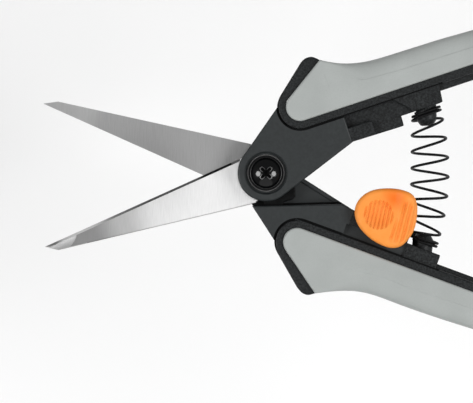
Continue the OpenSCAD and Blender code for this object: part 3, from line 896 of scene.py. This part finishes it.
def barrel_nut():
    """The shouldered nut that both halves turn on, closed at the back."""
    thread_r, thread_lo, flange_z = 1.72, Z_LO + 1.4, Z_LO + 0.2
    nut = lathe([(0, 0), (3.9, 0), (4.35, 0.12), (FLANGE_R, 0.5), (FLANGE_R, flange_z),
                 (BARREL_R, flange_z), (BARREL_R, RING_LO - 0.1), (BARREL_R - 0.1, RING_LO),
                 (thread_r, RING_LO), (thread_r, thread_lo), (0, thread_lo)], 120)
    finish_piece(nut, "pivot_barrel_nut", "rear_half", GLOSS_BLACK, ["pivot_nut"], 28)


# ---------------------------------------------------------------- return spring
WIRE_R = 0.34
COIL_MID_R, COIL_END_R = 4.62, 3.35
FEET = np.array([(39.5, -17.55), (40.25, 15.9)])
TILT = (-20.3, 18.4)
BOW = 1.35
CLOSED_TURNS, CLOSED_PITCH, RAMP, OPEN_TURNS = 1.6, 0.76, 0.8, 6
TOTAL = 2 * (CLOSED_TURNS + RAMP) + OPEN_TURNS
LENGTH = float(np.linalg.norm(FEET[1] - FEET[0]))
OPEN_PITCH = (LENGTH - 2 * CLOSED_TURNS * CLOSED_PITCH - CLOSED_PITCH * RAMP) / (OPEN_TURNS + RAMP)


def coil_height(n):
    """Distance along the spring after n turns: close turns at both ends, open ones between."""
    if n > TOTAL / 2:
        return LENGTH - coil_height(TOTAL - n)
    closed = CLOSED_TURNS * CLOSED_PITCH
    if n < CLOSED_TURNS:
        return n * CLOSED_PITCH
    x = n - CLOSED_TURNS
    if x < RAMP:
        return closed + CLOSED_PITCH * x + (OPEN_PITCH - CLOSED_PITCH) * x * x / (2 * RAMP)
    return closed + (CLOSED_PITCH + OPEN_PITCH) / 2 * RAMP + (x - RAMP) * OPEN_PITCH


def coil_point(n):
    """Middle of the wire after n turns; the spring is barrel-shaped and bows away from the pivot."""
    t = coil_height(n) / LENGTH
    centre = FEET[0] * (1 - t) + FEET[1] * t + np.array((BOW * math.sin(math.pi * t), 0))
    tilt = math.radians(TILT[0] * (1 - t) + TILT[1] * t)
    r = COIL_END_R + (COIL_MID_R - COIL_END_R) * math.sin(math.pi * t) ** 0.6
    a = 2 * math.pi * (n - CLOSED_TURNS - RAMP)
    return Vector((centre[0] + r * math.cos(a) * math.cos(tilt),
                   centre[1] + r * math.cos(a) * math.sin(tilt),
                   SHEAR_Z - r * math.sin(a)))


def wire(n0, n1, per_turn=48, sides=12):
    """The stretch of wire between turns n0 and n1."""
    steps = max(2, round((n1 - n0) * per_turn))
    turns = np.linspace(n0, n1, steps + 1)
    rings = []
    for n in turns:
        step = 0.5 / per_turn
        along = (coil_point(min(n + step, TOTAL)) - coil_point(max(n - step, 0))).normalized()
        side = along.cross(Vector((0, 1, 0))).normalized()
        up = side.cross(along)
        at = coil_point(n)
        rings.append([tuple(at + WIRE_R * (side * math.cos(b) + up * math.sin(b)))
                      for b in np.linspace(0, 2 * math.pi, sides, endpoint=False)])
    return loft(rings, "wire")


def smooth_ease(t):
    return t * t * (3 - 2 * t)


def spring():
    """The wire in short stretches, not attached to either half, and its two rigid seats, each fixed to
    one half.
    """
    stretches, crease = 12, 60
    low = Vector((FEET[0][0], FEET[0][1] + CLOSED_TURNS * CLOSED_PITCH, SHEAR_Z)) * MM
    high = Vector((FEET[1][0], FEET[1][1] - CLOSED_TURNS * CLOSED_PITCH, SHEAR_Z)) * MM
    seats = [(wire(0, CLOSED_TURNS), "spring_seat_turns_rear", "rear_half"),
             (wire(TOTAL - CLOSED_TURNS, TOTAL), "spring_seat_turns_front", "front_half")]
    for piece, name, body in seats:
        finish_piece(piece, name, body, WIRE_BLACK, ["return_spring"], crease)
    first, last = CLOSED_TURNS + RAMP, TOTAL - CLOSED_TURNS - RAMP
    marks = [CLOSED_TURNS] + list(np.linspace(first, last, stretches + 1)) + [TOTAL - CLOSED_TURNS]
    direction = high - low
    for i, (n0, n1) in enumerate(zip(marks, marks[1:])):
        middle = (coil_point((n0 + n1) / 2).y * MM - low.y) / direction.y
        piece = wire(n0, n1)
        piece.name = piece.data.name = f"spring_turns_{i + 1:02d}"
        piece.data.materials.append(WIRE_BLACK)
        piece.data.shade_smooth()
        piece.data.set_sharp_from_angle(angle=math.radians(crease))
        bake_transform(piece)
        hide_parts("return_spring")


# ---------------------------------------------------------------- thumb lock
PAD = [(24.4, 2.1), (23.85, -0.6), (24.7, -3.2), (26.6, -5.3), (29.8, -6.95), (33.5, -7.85),
       (36.4, -7.5), (38.2, -5.5), (39.2, -2.6), (39.6, 0.2), (39.2, 2.9), (37.9, 5.5),
       (35.7, 6.75), (32.8, 6.85), (29.6, 6.15), (26.4, 4.5)]
PAD_Z = Z_HI + 0.2
PAD_T = 3.2
DISH = (29.9, 0.0)
DISH_R = 3.9


def ease(value, low, high):
    return smooth_ease(min(1.0, max(0.0, (value - low) / (high - low))))


def pad_height(x, y, edge):
    """Top of the pad: a ribbed round dish, a valley beside it and a ribbed slope at the far side."""
    z = PAD_T - 0.25 * ((x - 31.5) ** 2 + y * y) / 60
    from_dish = math.hypot(x - DISH[0], y - DISH[1]) / DISH_R
    z -= 0.75 * ease(1 - from_dish, 0, 0.75)
    rib_fade = ease(1 - from_dish, 0.0, 0.14)
    z += 0.32 * rib_fade * (max(-0.6, math.cos(2 * math.pi * (x - 0.13 * y - DISH[0]))) - 0.85)
    z -= 1.05 * ease(x, 34.0, 40.2)
    slope_fade = ease(x, 34.2, 34.9) * ease(6.2 - abs(y + 0.3), 0, 2.0) * ease(edge, 0.3, 1.1)
    z += 0.17 * slope_fade * (2 * math.cos(2 * math.pi * (x - 0.1 * y - 35.1) / 1.45) - 1.6)
    valley = ease(1 - abs(x - 34.2 - 0.18 * (y + 7)) / 2.3, 0, 1) * ease(-y, 1.0, 6.5)
    z -= 0.6 * valley
    round_r = 1.15
    if edge < round_r:
        z -= round_r - math.sqrt(max(0.0, round_r ** 2 - (round_r - edge) ** 2))
    return z


def lock_button():
    """The thumb pad with the stem, hook and guide under it."""
    outline = np.array(anticlockwise(loop_through(PAD, 14)))
    centre = np.array((32.0, -0.3))
    rows, play = 64, 0.12
    rings = [[(x, y, PAD_Z) for x, y in centre + (outline - centre) * 0.02],
             [(x, y, PAD_Z) for x, y in inset(outline, 0.25)],
             [(x, y, PAD_Z + 0.25) for x, y in outline]]
    for k in range(rows + 1):
        share = (k / rows) ** 1.25
        flat = outline + (centre - outline) * share * 0.985
        edge = np.linalg.norm(flat - outline, axis=1) * 0.93
        rings.append([(x, y, PAD_Z + pad_height(x, y, e)) for (x, y), e in zip(flat, edge)])
    pad = loft(rings, "pad")
    stem = box_slab(STEM_U, (SLOT_V[0] + play, SLOT_V[1] - play), Z_LO - 0.08, PAD_Z + 1, 0.1, 0.9)
    hook = box_slab((31, 36.4), (-7.2, -5.85), CATCH_Z + 0.3, PAD_Z + 1, 0.25, 0.3)
    guide = box_slab((30.4, 36.4), (SLOT_V[1] + play, RAIL_V[REAR] - 1), GROOVE_Z + 0.2, PAD_Z + 1,
                     0.15, 0.2)
    pad = to_rail(union([pad, stem, hook, guide]), REAR)
    finish_piece(pad, "lock_thumb_pad", "lock", LOCK_ORANGE, ["lock_button"], 50)


def retaining_clip():
    """The clip around the stem at the back of the slot."""
    rim = 1.3
    clip = box_slab((STEM_U[0] - rim, STEM_U[1] + rim), (SLOT_V[0] - rim, SLOT_V[1] + rim),
                    Z_LO - 0.3, Z_LO + 0.7, 0.2, 0.6)
    hole = box_slab(STEM_U, (SLOT_V[0] + 0.1, SLOT_V[1] - 0.1), Z_LO - 2, Z_LO + 2, 0, 0.9)
    clip = to_rail(cut(clip, [hole]), REAR)
    finish_piece(clip, "lock_retaining_clip", "lock", GRAINED_PLASTIC, ["lock_retainer"])


# ---------------------------------------------------------------- stage
def area_light(name, place, size, power, aim):
    data = bpy.data.lights.new(name, "AREA")
    data.shape, data.size, data.energy = "DISK", size, power
    obj = bpy.data.objects.new(name, data)
    bpy.context.scene.collection.objects.link(obj)
    obj.location = place
    obj.rotation_euler = (Vector(aim) - Vector(place)).to_track_quat("-Z", "Y").to_euler()


def stage():
    """A pale floor, dim surroundings, two softboxes, a panel overhead and a low fill in front."""
    size, drop = 4.0, 0.12
    bm = bmesh.new()
    bmesh.ops.create_grid(bm, x_segments=2, y_segments=2, size=size / 2)
    floor = new_object("floor", bm)
    floor.location = (0, 0, -drop)
    m = Shader("floor_white").set(Roughness=0.9, Specular_IOR_Level=0.1)
    mottling = m.spread(m.noise(400.0), 0.0, 1.0)
    m.link(m.mix(mottling, (0.96, 0.96, 0.96, 1), (0.97, 0.97, 0.97, 1)), "Base Color")
    floor.data.materials.append(m.material)
    world = bpy.data.worlds.new("studio")
    bpy.context.scene.world = world
    world.use_nodes = True
    background = world.node_tree.nodes["Background"]
    background.inputs["Color"].default_value = (1, 1, 1, 1)
    background.inputs["Strength"].default_value = 0.16
    aim = (0.01, 0, 0)
    area_light("softbox_left", (-0.62, -0.06, 0.62), 0.42, 4.9, aim)
    area_light("softbox_right", (0.64, -0.06, 0.62), 0.42, 4.9, aim)
    area_light("overhead_panel", (0.0, -0.05, 1.25), 0.5, 1.1, aim)
    area_light("front_fill", (0.0, -0.9, 0.5), 1.3, 1.9, aim)


def camera():
    """Looks straight down onto the front face; the ends of the handles are out of view."""
    view_width, lens, sensor = 0.11825, 300.0, 36.0
    centre = (-0.007375, -0.007125)
    distance = view_width * lens / sensor
    data = bpy.data.cameras.new("camera")
    data.lens, data.sensor_width = lens, sensor
    cam = bpy.data.objects.new("camera", data)
    bpy.context.scene.collection.objects.link(cam)
    cam.location = (centre[0], centre[1], Z_HI * MM + distance)
    data.clip_start, data.clip_end = 0.01, 10
    bpy.context.scene.camera = cam
    bpy.context.scene.view_settings.view_transform = "Standard"


camera()
stage()
blade(FRONT)
blade(REAR)
handle_frame(FRONT)
handle_frame(REAR)
crowned_grip(FRONT)
crowned_grip(REAR)
screw()
flange_ring()
barrel_nut()
spring()
lock_button()
retaining_clip()
washer = bpy.data.objects["tension_washer"]
washer.data.materials.clear()
washer.data.materials.append(WASHER_STEEL)
